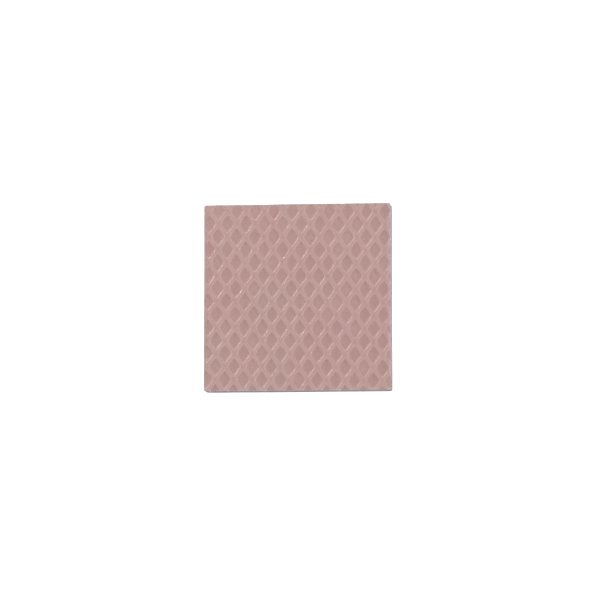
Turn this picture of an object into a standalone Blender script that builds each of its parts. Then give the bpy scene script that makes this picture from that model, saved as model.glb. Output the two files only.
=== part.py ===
"""A square of thermal pad: soft ceramic-filled silicone under an embossed clear release film.

Metres, +Z up. X runs across the square and Y along it. The origin is under the middle of
the pad, on the surface that the pad lies on.
"""

import math

import bmesh
import bpy
from mathutils import Matrix, Vector

# The square that the die cuts, pad and film together
PAD_WIDTH = 0.0254
PAD_LENGTH = 0.0254
CORNER_RADIUS = 0.0003
CORNER_STEPS = 3

# The silicone pad
PAD_THICKNESS = 0.002

# The release film, one embossed sheet of even gauge
FILM_GAUGE = 0.0001

# Its embossing: lozenge pits in staggered rows, with raised bands between them
LOZENGE_PITCH_ACROSS = 0.00251
LOZENGE_PITCH_ALONG = 0.00353
BAND_WIDTH = 0.00054
PIT_DEPTH = 0.0002
PIT_WALL_RUN = 0.00012

# The pits stand on the silicone, and carry the bands clear of it. This is left under them
PIT_CLEARANCE = 0.00005

# How the pattern lies on the square, because the die isn't lined up with the embossing
PATTERN_TURN = math.radians(-1.05)
PATTERN_SHIFT_ACROSS = 0.00036
PATTERN_SHIFT_ALONG = -0.00072

# Two points of one cut that fall closer together than this are one point
CUT_MERGE = 0.000002


def clear_scene():
    """Remove whatever the open file holds."""
    for obj in list(bpy.data.objects):
        bpy.data.objects.remove(obj)


def plain_material(name, color, roughness, alpha=1.0):
    """A Principled material without metal."""
    material = bpy.data.materials.new(name)
    material.use_nodes = True
    shader = material.node_tree.nodes["Principled BSDF"]
    shader.inputs["Base Color"].default_value = (*color, 1.0)
    shader.inputs["Roughness"].default_value = roughness
    shader.inputs["Metallic"].default_value = 0.0
    shader.inputs["Alpha"].default_value = alpha
    return material


def add_object(name, bm, material):
    """Turn a finished bmesh into a named object with its faces pointing out."""
    bmesh.ops.recalc_face_normals(bm, faces=bm.faces)
    mesh = bpy.data.meshes.new(name)
    bm.to_mesh(mesh)
    bm.free()
    mesh.materials.append(material)
    obj = bpy.data.objects.new(name, mesh)
    bpy.context.scene.collection.objects.link(obj)
    return obj


def die_outline():
    """The die's edge, counter-clockwise: a rectangle with a small arc at each corner."""
    points = []
    for quarter in range(4):
        middle_angle = math.radians(45 + 90 * quarter)
        centre = Vector((
            math.copysign(PAD_WIDTH / 2 - CORNER_RADIUS, math.cos(middle_angle)),
            math.copysign(PAD_LENGTH / 2 - CORNER_RADIUS, math.sin(middle_angle)),
            0.0,
        ))
        for step in range(CORNER_STEPS + 1):
            angle = math.radians(90) * (quarter + step / CORNER_STEPS)
            reach = Vector((math.cos(angle), math.sin(angle), 0.0))
            points.append(centre + CORNER_RADIUS * reach)
    return points


def extrude_sheet(bm, height):
    """Give an open sheet its thickness, straight up or down, and close its sides."""
    grown = bmesh.ops.extrude_face_region(bm, geom=list(bm.faces))["geom"]
    new_verts = [item for item in grown if isinstance(item, bmesh.types.BMVert)]
    bmesh.ops.translate(bm, verts=new_verts, vec=(0.0, 0.0, height))


def make_pad(material):
    """The silicone, a plain slab with the die's outline."""
    bm = bmesh.new()
    bm.faces.new([bm.verts.new(point) for point in die_outline()])
    extrude_sheet(bm, PAD_THICKNESS)
    return add_object("thermal_pad", bm, material)


def lattice_matrix():
    """Turn unit squares into the rhombic cells of the embossing, one lozenge to a cell."""
    half_across = LOZENGE_PITCH_ACROSS / 2
    half_along = LOZENGE_PITCH_ALONG / 2
    return Matrix((
        (half_across, -half_across, 0.0, 0.0),
        (half_along, half_along, 0.0, 0.0),
        (0.0, 0.0, 1.0, 0.0),
        (0.0, 0.0, 0.0, 1.0),
    ))


def pattern_matrix():
    """Lay the embossing on the square, with a pit's middle at the pattern's own origin."""
    shift = Vector((PATTERN_SHIFT_ACROSS, PATTERN_SHIFT_ALONG, 0.0))
    turn = Matrix.Rotation(PATTERN_TURN, 4, "Z")
    pit_to_origin = Matrix.Translation((0.5, 0.5, 0.0))
    return Matrix.Translation(shift) @ turn @ lattice_matrix() @ pit_to_origin


def cells_each_way():
    """How many cells a side the lattice needs to reach past the square's corners."""
    reach = math.hypot(PAD_WIDTH, PAD_LENGTH) / 2
    reach += math.hypot(PATTERN_SHIFT_ACROSS, PATTERN_SHIFT_ALONG)
    steps = math.ceil(reach / LOZENGE_PITCH_ACROSS + reach / LOZENGE_PITCH_ALONG)
    return 2 * (steps + 1)


def trim_to_outline(bm, outline):
    """Cut away what lies outside a convex outline, one straight cut for each edge."""
    for start, end in zip(outline, outline[1:] + outline[:1]):
        along = (end - start).normalized()
        outwards = Vector((along.y, -along.x, 0.0))
        everything = list(bm.verts) + list(bm.edges) + list(bm.faces)
        bmesh.ops.bisect_plane(
            bm, geom=everything, dist=CUT_MERGE, plane_co=start, plane_no=outwards, clear_outer=True
        )
    bmesh.ops.remove_doubles(bm, verts=bm.verts, dist=CUT_MERGE)


def make_film(material):
    """The release film: an embossed surface, trimmed by the die and given its gauge."""
    bm = bmesh.new()
    cells = cells_each_way()
    bmesh.ops.create_grid(bm, x_segments=cells, y_segments=cells, size=cells / 2)
    bmesh.ops.transform(bm, matrix=pattern_matrix(), verts=bm.verts)
    pits = list(bm.faces)
    bmesh.ops.inset_individual(bm, faces=pits, thickness=BAND_WIDTH / 2, use_even_offset=True)
    bmesh.ops.inset_individual(
        bm, faces=pits, thickness=PIT_WALL_RUN, depth=-PIT_DEPTH, use_even_offset=True
    )
    band_top = PAD_THICKNESS + PIT_CLEARANCE + FILM_GAUGE + PIT_DEPTH
    bmesh.ops.translate(bm, verts=bm.verts, vec=(0.0, 0.0, band_top))
    trim_to_outline(bm, die_outline())
    extrude_sheet(bm, -FILM_GAUGE)
    return add_object("release_film", bm, material)


def main():
    clear_scene()
    silicone = plain_material("filled_silicone", (0.47, 0.28, 0.26), 0.75)
    clear_film = plain_material("embossed_clear_film", (0.62, 0.42, 0.40), 0.3, alpha=0.45)
    make_pad(silicone)
    make_film(clear_film)


main()
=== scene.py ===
# %% [markdown]
# # A thermal pad under its embossed release film
# A thermal pad is a square of soft silicone, filled with ceramic grains, that carries heat
# from a chip to its heatsink. It is sold with a clear plastic film on its tacky face, embossed
# with lozenge pits so that a fingernail can lift it. The part has just these two pieces. The
# silicone gives the dusty pink and the dark lozenges, which are prints that the pits leave in
# it. The film gives the fine bright lines along the rims of the pits.
#
# The frame holds both pieces as plain solids at their real size. It is loaded first, because
# every size below is read off it or set against it.

# %% Load the frame
import math
import random

import bmesh
import bpy
from mathutils import Matrix, Vector, noise


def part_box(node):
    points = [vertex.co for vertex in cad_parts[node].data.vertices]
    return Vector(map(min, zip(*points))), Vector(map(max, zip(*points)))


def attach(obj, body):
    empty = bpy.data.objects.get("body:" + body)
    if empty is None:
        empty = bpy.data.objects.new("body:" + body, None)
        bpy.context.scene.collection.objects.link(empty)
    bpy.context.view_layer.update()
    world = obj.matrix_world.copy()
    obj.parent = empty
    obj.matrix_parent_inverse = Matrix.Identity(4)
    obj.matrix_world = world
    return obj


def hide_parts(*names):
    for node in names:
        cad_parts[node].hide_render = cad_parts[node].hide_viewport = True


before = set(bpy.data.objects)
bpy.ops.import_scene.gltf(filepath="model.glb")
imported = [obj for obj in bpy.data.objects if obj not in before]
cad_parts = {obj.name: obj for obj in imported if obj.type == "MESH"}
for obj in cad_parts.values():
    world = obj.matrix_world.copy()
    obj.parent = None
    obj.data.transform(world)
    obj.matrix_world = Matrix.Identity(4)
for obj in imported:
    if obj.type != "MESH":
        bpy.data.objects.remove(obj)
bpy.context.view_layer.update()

print("solids:", sorted(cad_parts))

# %% [markdown]
# ## Sizes
# The frame says how wide the square is and how high its two pieces lie. The embossing's own
# sizes can't be read off a box, so they are given here in metres, as the roller that pressed
# the film would have them.

# %% Sizes from the frame, and those of the embossing
_, pad_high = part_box("thermal_pad")
film_low, film_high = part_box("release_film")
HALF_WIDTH = pad_high.x
HALF_LENGTH = pad_high.y
PAD_TOP = pad_high.z
FILM_TOP = film_high.z

CORNER_RADIUS = 0.0003
FILM_GAUGE = 0.0001

LOZENGE_PITCH_ACROSS = 0.00251
LOZENGE_PITCH_ALONG = 0.00353
PATTERN_TURN = math.radians(-1.05)
PATTERN_SHIFT = Vector((0.00037, -0.00067, 0.0))

PIT_DEPTH = FILM_TOP - film_low.z - FILM_GAUGE
print("square:", round(2000 * HALF_WIDTH, 2), "by", round(2000 * HALF_LENGTH, 2), "mm")
print("pits are", round(1000 * PIT_DEPTH, 3), "mm deep")

# %% [markdown]
# ## Finished pieces
# Each piece is built in a bmesh and then turned into an object at the origin. Its faces are
# smooth, but edges sharper than a set angle stay crisp, as a cut edge does.

# %% Turn a bmesh into a finished piece
SHARP_ANGLE = math.radians(50)


def mesh_object(name, bm):
    """Put a bmesh into the scene as an object at the origin."""
    mesh = bpy.data.meshes.new(name)
    bm.to_mesh(mesh)
    bm.free()
    obj = bpy.data.objects.new(name, mesh)
    bpy.context.scene.collection.objects.link(obj)
    return obj


def finish_piece(name, bm, material, node):
    """Close a piece's finish: normals out, smooth faces, crisp cuts, its material and node."""
    bmesh.ops.recalc_face_normals(bm, faces=bm.faces)
    for face in bm.faces:
        face.smooth = True
    for edge in bm.edges:
        if edge.calc_face_angle(0.0) > SHARP_ANGLE:
            edge.smooth = False
    piece = mesh_object(name, bm)
    piece.data.materials.append(material)
    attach(piece, "root")
    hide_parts(node)
    piece.data.calc_loop_triangles()
    print(name, "has", len(piece.data.loop_triangles), "triangles")
    return piece


# %% [markdown]
# ## Materials from nodes
# A material is a small graph. Two helpers keep it readable: one makes a material and hands
# back its shader, and one makes a node with its inputs filled in or wired up.

# %% Helpers for node materials
def new_material(name, **sockets):
    """A Principled material with some of its sockets set."""
    material = bpy.data.materials.new(name)
    material.use_nodes = True
    shader = material.node_tree.nodes["Principled BSDF"]
    for socket, value in sockets.items():
        shader.inputs[socket.replace("_", " ")].default_value = value
    return material, material.node_tree, shader


def add_node(tree, kind, inputs=None, **settings):
    """A node with its settings, and its inputs given as values or as other nodes' outputs."""
    node = tree.nodes.new(kind)
    for setting, value in settings.items():
        setattr(node, setting, value)
    for socket, value in (inputs or {}).items():
        if isinstance(value, bpy.types.NodeSocket):
            tree.links.new(value, node.inputs[socket])
        else:
            node.inputs[socket].default_value = value
    return node


def grain(tree, place, size, detail=2.0, roughness=0.5):
    """Noise with features of about the given size in metres, as a value from 0 to 1."""
    inputs = {"Vector": place, "Scale": 1.0 / size, "Detail": detail, "Roughness": roughness}
    return add_node(tree, "ShaderNodeTexNoise", inputs).outputs["Fac"]


def rescale(tree, value, low, high, new_low, new_high):
    """Map one range of a value onto another, and clamp it there."""
    inputs = {"Value": value, 1: low, 2: high, 3: new_low, 4: new_high}
    return add_node(tree, "ShaderNodeMapRange", inputs, clamp=True).outputs["Result"]


def point_value(tree, name):
    """A value that is kept at every point of the mesh."""
    return add_node(tree, "ShaderNodeAttribute", attribute_name=name).outputs["Fac"]


def combine(tree, operation, first, second):
    """One arithmetic step between two values."""
    return add_node(tree, "ShaderNodeMath", {0: first, 1: second}, operation=operation).outputs[0]


def blend_colors(tree, amount, first, second):
    """Mix two colours by a value."""
    inputs = {"Factor": amount, 6: first, 7: second}
    return add_node(tree, "ShaderNodeMix", inputs, data_type="RGBA").outputs[2]


# %% [markdown]
# ## What the meshes tell the materials
# Four values are kept at every point of the two meshes: how far the film stands off the
# silicone there, how much air is caught under it, whether the point is on the rim of a pit, and
# how near it is to the cut. The materials read them by name. The stand-off is 1 on the bands,
# about half where two bands cross, and 0 in the middle of a pit. A value well below 0 marks a
# tip that gets painted shade, a darker colour for the shade of its wall.

# %% Names of the values kept at each point
STAND_OFF = "stand_off"
HAZE = "haze"
RIM = "rim"
CUT_SIDE = "cut_side"
PAINTED_TIP_SHADE = -0.8
print("kept at each point:", STAND_OFF, HAZE, RIM, CUT_SIDE)

# %% [markdown]
# ## The silicone's finish
# Filled silicone is matt and slightly uneven. The ceramic grains show as fine pale and dark
# specks, the mixing leaves broad soft mottling, and the knife leaves upright drag lines on the
# cut sides. Those sides are painted a dark grey-pink, as painted shade. The drag lines come from
# a noise that is squeezed across and stretched upwards, so the same graph reads as plain grain
# on the flat top.
#
# Under the film the top has two looks. Where the film stands off, the silicone is dry and pale.
# Where a pit touches it, the silicone is wetted and darker, unless air is caught there. The back
# tip of about every second lozenge is painted darker still, as painted shade for its wall, which
# faces away from the lamp. A thin pale line follows each rim, where the film has let go of the
# silicone. The mesh says at each of its points which of these it is, and this graph turns that
# into a colour.

# %% Silicone material
def silicone_finish():
    """Matt filled silicone: dry or wetted on top, with painted shade on the cut sides and some
    tips.
    """
    material, tree, shader = new_material("filled_silicone")
    place = add_node(tree, "ShaderNodeTexCoord").outputs["Object"]
    mottle = grain(tree, place, 0.0035)
    specks = grain(tree, place, 0.00012, detail=3.0)
    upright = add_node(
        tree, "ShaderNodeMapping", {"Vector": place, "Scale": (1.0, 1.0, 0.06)}
    ).outputs["Vector"]
    drag = grain(tree, upright, 0.00022)

    stand_off = point_value(tree, STAND_OFF)
    haze = point_value(tree, HAZE)
    off = rescale(tree, stand_off, 0.35, 0.90, 0.0, 1.0)
    patch = rescale(tree, combine(tree, "MULTIPLY", haze, mottle), 0.12, 0.5, 0.0, 0.60)
    pale = combine(tree, "ADD", off, patch)
    hue = rescale(tree, grain(tree, place, 0.0045, detail=1.0), 0.35, 0.65, 0.0, 1.0)
    wet = blend_colors(tree, hue, (0.350, 0.203, 0.181, 1.0), (0.362, 0.199, 0.184, 1.0))
    dry = blend_colors(tree, hue, (0.400, 0.241, 0.218, 1.0), (0.411, 0.236, 0.221, 1.0))
    # Painted shade: tips marked with a stand-off well below 0 turn a darker red-brown, for the wall
    # that faces away from the lamp.
    tip_shade = rescale(tree, stand_off, PAINTED_TIP_SHADE, 0.0, 1.0, 0.0)
    wet_with_tip_shade = blend_colors(tree, tip_shade, wet, (0.270, 0.140, 0.125, 1.0))
    let_go = rescale(tree, point_value(tree, RIM), 0.6, 1.0, 0.0, 0.4)
    pale_line = blend_colors(tree, let_go, dry, (0.438, 0.272, 0.250, 1.0))
    top = blend_colors(tree, pale, wet_with_tip_shade, pale_line)
    # Painted shade: the cut sides take a dark grey-pink in place of the silicone's pink, for the
    # shade they stand in.
    side = point_value(tree, CUT_SIDE)
    base = blend_colors(tree, side, top, (0.124, 0.087, 0.083, 1.0))
    dusted = blend_colors(
        tree, rescale(tree, specks, 0.58, 0.74, 0.0, 0.5), base, (0.52, 0.37, 0.35, 1.0)
    )
    color = blend_colors(
        tree, rescale(tree, specks, 0.40, 0.28, 0.0, 0.5), dusted, (0.24, 0.12, 0.11, 1.0)
    )
    tree.links.new(color, shader.inputs["Base Color"])
    tree.links.new(rescale(tree, mottle, 0.3, 0.7, 0.5, 0.68), shader.inputs["Roughness"])
    relief = combine(tree, "ADD", specks, drag)
    bump = add_node(
        tree, "ShaderNodeBump", {"Height": relief, "Strength": 0.35, "Distance": 0.00002}
    )
    tree.links.new(bump.outputs["Normal"], shader.inputs["Normal"])
    return material


# %% [markdown]
# ## The die and its cut
# Pad and film are cut out of wide stock with one stroke of a die, so both have the same outline:
# a square with corners that are only a little rounded. It is drawn as one face. A sheet is cut
# by trimming it along each edge of that face in turn. Soft stock never keeps a true square, so
# a slow noise then shifts both pieces sideways together, by a few hundredths of a millimetre.
# Blender's vector noise starts from the clock unless it has a seed. It is given one, so that
# the outline comes out the same every time.

# %% The die's outline as one face
CORNER_STEPS = 4


def die_face():
    """One face with the die's outline, flat on the floor and facing up."""
    bm = bmesh.new()
    bmesh.ops.create_grid(bm, x_segments=1, y_segments=1, size=1.0)
    bmesh.ops.scale(bm, vec=(HALF_WIDTH, HALF_LENGTH, 1.0), verts=bm.verts)
    bmesh.ops.bevel(
        bm,
        geom=list(bm.verts),
        offset=CORNER_RADIUS,
        segments=CORNER_STEPS,
        profile=0.5,
        affect="VERTICES",
        material=-1,
    )
    return bm


# %% Cut a sheet with the die
CUT_MERGE = 0.000001


def outline_edges(inset):
    """The start and end points of the die's outline, counter-clockwise, drawn in by an inset."""
    bm = die_face()
    bm.faces.ensure_lookup_table()
    shrink = Vector((1 - inset / HALF_WIDTH, 1 - inset / HALF_LENGTH, 1.0))
    points = [vert.co * shrink for vert in bm.faces[0].verts]
    bm.free()
    return list(zip(points, points[1:] + points[:1]))


def die_cut(bm, inset=0.0):
    """Cut away all that lies outside the die's outline."""
    for start, end in outline_edges(inset):
        along = (end - start).normalized()
        outwards = Vector((along.y, -along.x, 0.0))
        everything = list(bm.verts) + list(bm.edges) + list(bm.faces)
        bmesh.ops.bisect_plane(
            bm, geom=everything, dist=CUT_MERGE, plane_co=start, plane_no=outwards, clear_outer=True
        )
    bmesh.ops.remove_doubles(bm, verts=bm.verts, dist=CUT_MERGE)
    return bm


print("the die cuts in", len(outline_edges(0.0)), "straight pieces")


# %% Let a finished piece stray from a true square
STRAY = 0.00004
STRAY_SIZE = 0.009
STRAY_SEED = 1796032986


def stray(bm):
    """Shift a finished piece sideways by a slow noise, as soft stock never keeps a true square."""
    noise.seed_set(STRAY_SEED)
    for vert in bm.verts:
        across, along, _ = noise.noise_vector(Vector((vert.co.x, vert.co.y, 0.0)) / STRAY_SIZE)
        vert.co += STRAY * Vector((across, along, 0.0))
    return bm


# %% [markdown]
# ## The film's web
# The real film is heated and pressed over a roller that is covered with lozenges. The same
# order works here. A grid of unit squares is sheared and turned into rhombic cells, one to a
# lozenge. Each cell is then inset four times: first for the flat band, then for a narrow
# sloping rim, then for the wall and the foot of the pit. That gives sixty faces a lozenge. No
# two pits of a real film are quite alike, so a seeded random gives each one its own width,
# length, place and depth.
#
# The rim keeps both its edges crisp. It is the ribbon that mirrors the lamp as a fine line.

# %% The lattice of cells
CELL_SIDE_CUTS = 2


def pattern_matrix():
    """Turn unit squares into the rhombic cells, laid on the square as the die cut them."""
    half_across = LOZENGE_PITCH_ACROSS / 2
    half_along = LOZENGE_PITCH_ALONG / 2
    shear = Matrix((
        (half_across, -half_across, 0.0, 0.0),
        (half_along, half_along, 0.0, 0.0),
        (0.0, 0.0, 1.0, 0.0),
        (0.0, 0.0, 0.0, 1.0),
    ))
    turn = Matrix.Rotation(PATTERN_TURN, 4, "Z")
    pit_to_origin = Matrix.Translation((0.5, 0.5, 0.0))
    return Matrix.Translation(PATTERN_SHIFT) @ turn @ shear @ pit_to_origin


def lattice():
    """The flat lattice, without the cells that lie wholly off the square."""
    bm = bmesh.new()
    reach = math.hypot(HALF_WIDTH, HALF_LENGTH)
    steps = math.ceil(reach / LOZENGE_PITCH_ACROSS + reach / LOZENGE_PITCH_ALONG)
    cells = 2 * (steps + 1)
    bmesh.ops.create_grid(bm, x_segments=cells, y_segments=cells, size=cells / 2)
    bmesh.ops.transform(bm, matrix=pattern_matrix(), verts=bm.verts)
    far = [
        face for face in bm.faces
        if abs(face.calc_center_median().x) > HALF_WIDTH + LOZENGE_PITCH_ACROSS
        or abs(face.calc_center_median().y) > HALF_LENGTH + LOZENGE_PITCH_ALONG
    ]
    bmesh.ops.delete(bm, geom=far, context="FACES")
    bmesh.ops.bisect_edges(bm, edges=list(bm.edges), cuts=CELL_SIDE_CUTS)
    return bm


# %% Press the pits
random.seed(25)

RING_STEPS = (
    # inset, drop, rounding, stand-off, share of the outline's spread, of the depth's, crisp
    (0.000180, 0.000000, 0.16, 1.00, 0.6, 0.0, True),
    (0.000085, 0.000020, 0.00, 1.00, 0.0, 0.12, True),
    (0.000060, 0.000085, 0.34, 0.80, 0.5, 1.0, False),
    (0.000060, 0.000065, 0.50, 0.15, 1.0, 1.0, False),
)
FLOOR_SAG = 0.00001
CROSSING_STAND_OFF = 0.52
RIM_HAZE = 0.5
MIDDLE_HAZE = 1.1
PAINTED_TIP_SHADE_SHARE = 0.5
ROUND_SHARE = 0.88
SIZE_SPREAD = 0.05
DRIFT = 0.00002
DEPTH_SPREAD = 0.000006
TILT_SPREAD = 0.012


def round_lozenge(face, amount):
    """Draw a lozenge's outline part of the way towards the ellipse inside it."""
    centre = face.calc_center_median()
    half_wide = max(abs(vert.co.x - centre.x) for vert in face.verts)
    half_tall = max(abs(vert.co.y - centre.y) for vert in face.verts)
    for vert in face.verts:
        arm = vert.co - centre
        reach = math.hypot(arm.x / half_wide, arm.y / half_tall)
        vert.co = centre + arm * (1 + amount * (ROUND_SHARE / reach - 1))


def vary_outline(face, share):
    """Give a lozenge its own width and length and a small drift sideways."""
    centre = face.calc_center_median()
    widen = 1 + share * random.uniform(-SIZE_SPREAD, SIZE_SPREAD)
    lengthen = 1 + share * random.uniform(-SIZE_SPREAD, SIZE_SPREAD)
    drift = share * DRIFT * Vector((random.uniform(-1, 1), random.uniform(-1, 1), 0.0))
    for vert in face.verts:
        arm = vert.co - centre
        vert.co = centre + drift + Vector((arm.x * widen, arm.y * lengthen, arm.z))


def vary_depth(face, share):
    """Give one ring of a lozenge its own depth and tilt, which turns its glint up or down."""
    centre = face.calc_center_median()
    lift = share * random.uniform(-DEPTH_SPREAD, DEPTH_SPREAD)
    tilt_x = share * random.uniform(-TILT_SPREAD, TILT_SPREAD)
    tilt_y = share * random.uniform(-TILT_SPREAD, TILT_SPREAD)
    for vert in face.verts:
        arm = vert.co - centre
        vert.co.z += lift + tilt_x * arm.x + tilt_y * arm.y


def press_pits(bm):
    """Inset every cell into a pit, ring by ring."""
    stand_off = bm.verts.layers.float.new(STAND_OFF)
    haze = bm.verts.layers.float.new(HAZE)
    on_rim = bm.verts.layers.float.new(RIM)
    bm.verts.layers.float.new(CUT_SIDE)
    crease = bm.edges.layers.float.new("crease_edge")
    for vert in bm.verts:
        at_crossing = len(vert.link_edges) > 2
        vert[stand_off] = CROSSING_STAND_OFF if at_crossing else 1.0
    pits = list(bm.faces)
    for inset, drop, rounding, height, outline_share, depth_share, crisp in RING_STEPS:
        bmesh.ops.inset_individual(
            bm, faces=pits, thickness=inset, depth=-drop, use_even_offset=True
        )
        for face in pits:
            round_lozenge(face, rounding)
            vary_outline(face, outline_share)
            vary_depth(face, depth_share)
            for vert in face.verts:
                vert[stand_off] = height
                vert[on_rim] = float(crisp)
            for edge in face.edges:
                edge[crease] = float(crisp)
                edge.smooth = not crisp
    for face in pits:
        wetting = random.random() ** 2
        for vert in face.verts:
            vert[haze] = RIM_HAZE * wetting
        # Painted shade: about every second pit marks its back tip, which the material colours
        # darker for the shade of its wall.
        if random.random() < PAINTED_TIP_SHADE_SHARE:
            tip = max(face.verts, key=lambda vert: vert.co.y)
            tip[stand_off] = PAINTED_TIP_SHADE
    made = bmesh.ops.poke(bm, faces=pits, center_mode="MEAN")
    bmesh.ops.translate(bm, vec=(0.0, 0.0, -FLOOR_SAG), verts=made["verts"])
    for vert in made["verts"]:
        vert[stand_off] = 0.0
        vert[haze] = MIDDLE_HAZE * random.random() ** 2
    return bm


web = press_pits(lattice())
print("the web has", len(web.faces), "faces before it is smoothed")

# %% [markdown]
# ## The silicone slab
# The slab could be a box with the die's outline. But tacky silicone takes the print of the film:
# each pit presses a shallow lozenge into it and wets it there, and that makes the dark lozenges
# of the photograph. So the slab's top is the film's own web laid flat, with those prints. Its
# sides then grow downwards from the cut, ring by ring, each ring a little wider or narrower, so
# that the lip and the foot are soft. Last, a smooth noise moves the sides in and out by about a
# hundredth of a millimetre, as the blade's drag does. The underside is dry like the bands.

# %% Build the slab from its printed top
PRINT_DEPTH = 0.00001
TACKY_RISE = 0.00003
LIP = 0.00003
LIP_SPLIT = 0.3
CUT_BACK = 0.00001
SWELL = -0.00003
SIDE_WANDER = 0.000012
WANDER_SIZE = 0.0025


def printed_top(web):
    """The film's web laid flat on the pad, with a print under each pit."""
    bm = web.copy()
    stand_off = bm.verts.layers.float[STAND_OFF]
    for vert in bm.verts:
        vert.co.z = PAD_TOP + TACKY_RISE - PRINT_DEPTH * (1 - vert[stand_off])
    return die_cut(bm, LIP + CUT_BACK)


def lower_rim(bm, rim, drop, spread):
    """Extrude a rim of edges downwards, and spread the new rim sideways."""
    grown = bmesh.ops.extrude_edge_only(bm, edges=rim)["geom"]
    new_rim = [item for item in grown if isinstance(item, bmesh.types.BMEdge) and item.is_boundary]
    verts = list({vert for edge in new_rim for vert in edge.verts})
    widen = (1 + spread / HALF_WIDTH, 1 + spread / HALF_LENGTH, 1.0)
    bmesh.ops.scale(bm, vec=widen, verts=verts)
    for vert in verts:
        vert.co.z -= drop
    return new_rim


def make_slab(web):
    """The pad: its printed top, soft-edged sides drawn down from the cut, and a flat underside."""
    bm = printed_top(web)
    stand_off = bm.verts.layers.float[STAND_OFF]
    haze = bm.verts.layers.float[HAZE]
    cut_side = bm.verts.layers.float[CUT_SIDE]
    top_verts = set(bm.verts)
    rim = [edge for edge in bm.edges if edge.is_boundary]
    rim_top = min(vert.co.z for edge in rim for vert in edge.verts)
    side = rim_top - 2 * LIP
    short, long = LIP * LIP_SPLIT, LIP * (1 - LIP_SPLIT)
    levels = [(short, long), (long, short)]
    levels += [(side / 4, SWELL / 2)] * 2 + [(side / 4, -SWELL / 2)] * 2
    levels += [(long, -short), (short, -long)]
    for drop, spread in levels:
        rim = lower_rim(bm, rim, drop, spread)
    foot = {vert for edge in rim for vert in edge.verts}
    bmesh.ops.contextual_create(bm, geom=rim)

    # The sides are marked here, and the material paints them dark grey-pink as painted shade.
    for vert in bm.verts:
        if vert not in top_verts:
            vert[cut_side] = 1.0
            outwards = Vector((vert.co.x, vert.co.y, 0.0)).normalized()
            vert.co += outwards * SIDE_WANDER * noise.noise(vert.co / WANDER_SIZE)
    for vert in foot:
        vert.co.z = 0.0
        vert[cut_side] = 0.0
        vert[stand_off] = 1.0
        vert[haze] = 0.0
    return stray(bm)


silicone = silicone_finish()
slab = finish_piece("silicone_slab", make_slab(web), silicone, "thermal_pad")

# %% [markdown]
# ## Smooth, settle and cut the film
# The web is smoothed by a Subdivision Surface modifier, and the result is read back as a plain
# mesh, because the cut has to come after it: a live modifier would round the cut corners too.
# Next the film settles. It waves a little over the soft pad, and along the cut the blade has
# pressed its bands down a little, so the relief is lower there. The value for the cut is
# filled in at the same time. Then the die's outline trims the film, one straight cut for each
# edge, and an extrusion by its gauge makes it solid. Last, it strays sideways with the pad.

# %% Smooth the web
SMOOTH_LEVELS = 1


def smoothed(bm):
    """A copy of a bmesh after one Subdivision Surface, with its point values kept."""
    rough = mesh_object("film_web", bm)
    modifier = rough.modifiers.new("smooth", "SUBSURF")
    modifier.levels = SMOOTH_LEVELS
    modifier.render_levels = SMOOTH_LEVELS
    bpy.context.view_layer.update()
    evaluated = rough.evaluated_get(bpy.context.evaluated_depsgraph_get())
    result = bmesh.new()
    result.from_mesh(evaluated.to_mesh())
    evaluated.to_mesh_clear()
    bpy.data.objects.remove(rough)
    return result


# %% Settle the film on the pad
WAVE = 0.000014
WAVE_SIZE = 0.006
PRESSED_MARGIN = 0.00045
PRESSED_SHARE = 0.25
WAVE_ROOM = 0.00003
LEAST_GAP = 0.00001
BAND_TOP = FILM_TOP - WAVE_ROOM
LOWEST_TOP = PAD_TOP + TACKY_RISE + FILM_GAUGE + LEAST_GAP


def edge_distance(point):
    """How far a point lies inside the die's outline."""
    return min(HALF_WIDTH - abs(point.x), HALF_LENGTH - abs(point.y))


def settle(bm):
    """Lay the film on the pad, gently waved, with its margin pressed down."""
    cut_side = bm.verts.layers.float[CUT_SIDE]
    for vert in bm.verts:
        inside = max(0.0, min(1.0, edge_distance(vert.co) / PRESSED_MARGIN))
        free = inside * inside * (3 - 2 * inside)
        wave = WAVE * noise.noise(vert.co / WAVE_SIZE)
        height = BAND_TOP + wave + vert.co.z
        pressed = height - PRESSED_SHARE * (1 - free) * (BAND_TOP - LOWEST_TOP)
        vert.co.z = max(pressed, LOWEST_TOP)
        vert[cut_side] = 1 - free
    return bm


# %% Give the film its gauge
def thicken(bm):
    """Extrude the sheet straight down by its gauge, which closes its cut edge too."""
    grown = bmesh.ops.extrude_face_region(bm, geom=list(bm.faces))["geom"]
    lower = [item for item in grown if isinstance(item, bmesh.types.BMVert)]
    bmesh.ops.translate(bm, verts=lower, vec=(0.0, 0.0, -FILM_GAUGE))
    return bm


sheet = stray(thicken(die_cut(settle(smoothed(web)))))
print("the film has", len(sheet.faces), "faces")
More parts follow.
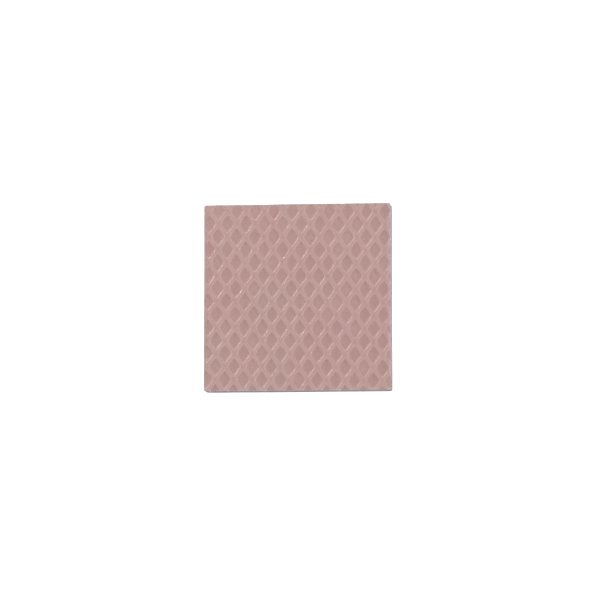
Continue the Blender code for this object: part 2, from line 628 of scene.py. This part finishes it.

# %% [markdown]
# ## The film's finish
# The film is clear and glossy, so its gloss is most of what shows: the bright lines are mirror
# images of the lamp. Their tint is set on the gloss, because in the photograph they are a pale
# pink. The film's own body is no more than a thin veil, so its alpha is small. The veil is a
# little stronger where the film stands off, in cloudy patches over caught air, and along the
# cut, where it also turns grey.

# %% Film material
def film_finish():
    """Clear glossy film with a thin milky veil, greyer along the cut."""
    material, tree, shader = new_material(
        "embossed_clear_film",
        IOR=1.64,
        Specular_IOR_Level=1.0,
        Specular_Tint=(1.0, 0.80, 0.76, 1.0),
    )
    place = add_node(tree, "ShaderNodeTexCoord").outputs["Object"]
    stand_off = point_value(tree, STAND_OFF)
    haze = point_value(tree, HAZE)
    clouds = grain(tree, place, 0.0022, detail=3.0)
    fine = grain(tree, place, 0.0003, detail=2.0)

    milky = rescale(tree, stand_off, 0.35, 0.90, 0.02, 0.035)
    patch = rescale(tree, combine(tree, "MULTIPLY", haze, clouds), 0.15, 0.5, 0.0, 0.01)
    # Along the cut the veil grows stronger and turns grey.
    cut_veil = rescale(tree, point_value(tree, CUT_SIDE), 0.0, 1.0, 0.0, 0.16)
    veil = combine(tree, "ADD", milky, patch)
    tree.links.new(combine(tree, "ADD", veil, cut_veil), shader.inputs["Alpha"])

    tint = rescale(tree, clouds, 0.3, 0.7, 0.0, 1.0)
    warm = blend_colors(tree, tint, (0.96, 0.80, 0.78, 1.0), (1.00, 0.86, 0.84, 1.0))
    grey = rescale(tree, cut_veil, 0.0, 0.05, 0.0, 1.0)
    color = blend_colors(tree, grey, warm, (0.66, 0.64, 0.65, 1.0))
    tree.links.new(color, shader.inputs["Base Color"])
    tree.links.new(rescale(tree, fine, 0.3, 0.7, 0.12, 0.18), shader.inputs["Roughness"])
    bump = add_node(
        tree, "ShaderNodeBump", {"Height": fine, "Strength": 0.025, "Distance": 0.00001}
    )
    tree.links.new(bump.outputs["Normal"], shader.inputs["Normal"])
    return material


clear_film = film_finish()
film = finish_piece("embossed_film", sheet, clear_film, "release_film")

# %% [markdown]
# ## Floor and light
# The floor is a sheet of white acrylic that glows faintly, as a light table does, so that the
# part's own soft shadow stays off it. Most of the light comes from a pale surround, which is
# dimmer towards the viewer, so the near side of the square is in the shade. One oval lamp at
# the upper left draws the lines on the rims of the pits. A low fill lifts the right-hand side,
# and a weak high one evens out the top.

# %% Floor
FLOOR_HALF = 1.5
FLOOR_GAP = 0.00001


def make_floor():
    """A wide white sheet just under the part."""
    bm = bmesh.new()
    bmesh.ops.create_grid(bm, x_segments=1, y_segments=1, size=FLOOR_HALF)
    bmesh.ops.translate(bm, verts=bm.verts, vec=(0.0, 0.0, -FLOOR_GAP))
    floor = mesh_object("floor", bm)
    material, _, _ = new_material(
        "white_acrylic",
        Base_Color=(0.86, 0.86, 0.86, 1.0),
        Roughness=0.9,
        Emission_Color=(1.0, 1.0, 1.0, 1.0),
        Emission_Strength=0.75,
    )
    floor.data.materials.append(material)
    print("the floor is", 2 * FLOOR_HALF, "m wide")


make_floor()

# %% Lamps
LAMP_DISTANCE = 0.6


def from_angles(azimuth, elevation):
    """The unit vector towards an azimuth, counted from +X towards +Y, and an elevation."""
    turn = math.radians(azimuth)
    rise = math.radians(elevation)
    level = math.cos(rise)
    return Vector((level * math.cos(turn), level * math.sin(turn), math.sin(rise)))


def add_lamp(name, azimuth, elevation, width, height, watts):
    """An oval area lamp that looks at the part."""
    lamp = bpy.data.lights.new(name, "AREA")
    lamp.shape = "ELLIPSE"
    lamp.size = width
    lamp.size_y = height
    lamp.energy = watts
    obj = bpy.data.objects.new(name, lamp)
    towards = from_angles(azimuth, elevation)
    obj.location = towards * LAMP_DISTANCE
    obj.rotation_euler = towards.to_track_quat("Z", "Y").to_euler()
    bpy.context.scene.collection.objects.link(obj)
    print(name, "gives", watts, "W from", LAMP_DISTANCE, "m away")


add_lamp("key_lamp", azimuth=139.6, elevation=56.2, width=0.24, height=0.10, watts=2.1)
add_lamp("right_fill", azimuth=-5, elevation=12, width=0.4, height=0.2, watts=3.0)
add_lamp("high_fill", azimuth=-25, elevation=71.5, width=0.2, height=0.2, watts=0.3)

# %% Surround
SURROUND = 0.567
FRONT_SURROUND = 0.25
DIM_UP_TO = -0.6
FULL_FROM = 0.3


def make_surround():
    """A pale surround on all sides, dimmer towards the viewer."""
    world = bpy.data.worlds.new("pale_surround")
    world.use_nodes = True
    tree = world.node_tree
    background = tree.nodes["Background"]
    background.inputs["Color"].default_value = (1.0, 1.0, 1.0, 1.0)
    direction = add_node(tree, "ShaderNodeTexCoord").outputs["Generated"]
    along = add_node(tree, "ShaderNodeSeparateXYZ", {"Vector": direction}).outputs["Y"]
    strength = rescale(tree, along, DIM_UP_TO, FULL_FROM, FRONT_SURROUND, SURROUND)
    tree.links.new(strength, background.inputs["Strength"])
    bpy.context.scene.world = world
    bpy.context.scene.view_settings.view_transform = "Standard"
    print("surround:", FRONT_SURROUND, "at the front,", SURROUND, "elsewhere")


make_surround()

# %% [markdown]
# ## Camera
# The photograph looks almost straight down. The near side of the square shows as a thin dark
# strip along the bottom, and a thinner one down the right, so the camera stands a little
# towards the front and right. Its distance comes from how the square's sides converge.

# %% Camera
PHOTO_SIDE = 600
SENSOR = 36.0
CAMERA_AZIMUTH = -47.0
CAMERA_ELEVATION = 81.3
CAMERA_DISTANCE = 0.486
PIXELS_PER_METRE = 7416.0
AIM = Vector((0.000412, -0.000428, FILM_TOP))


def add_camera():
    """The photograph's camera, level with the square."""
    camera = bpy.data.cameras.new("camera")
    camera.sensor_width = SENSOR
    camera.lens = SENSOR * PIXELS_PER_METRE * CAMERA_DISTANCE / PHOTO_SIDE
    camera.clip_start = 0.01
    camera.clip_end = 10.0
    back = from_angles(CAMERA_AZIMUTH, CAMERA_ELEVATION)
    right = Vector((0.0, 1.0, 0.0)).cross(back).normalized()
    up = back.cross(right)
    level = Matrix((right, up, back)).transposed().to_4x4()
    obj = bpy.data.objects.new("camera", camera)
    obj.matrix_world = Matrix.Translation(AIM + back * CAMERA_DISTANCE) @ level
    bpy.context.scene.collection.objects.link(obj)
    bpy.context.scene.camera = obj
    print("the lens is", round(camera.lens, 1), "mm")


add_camera()
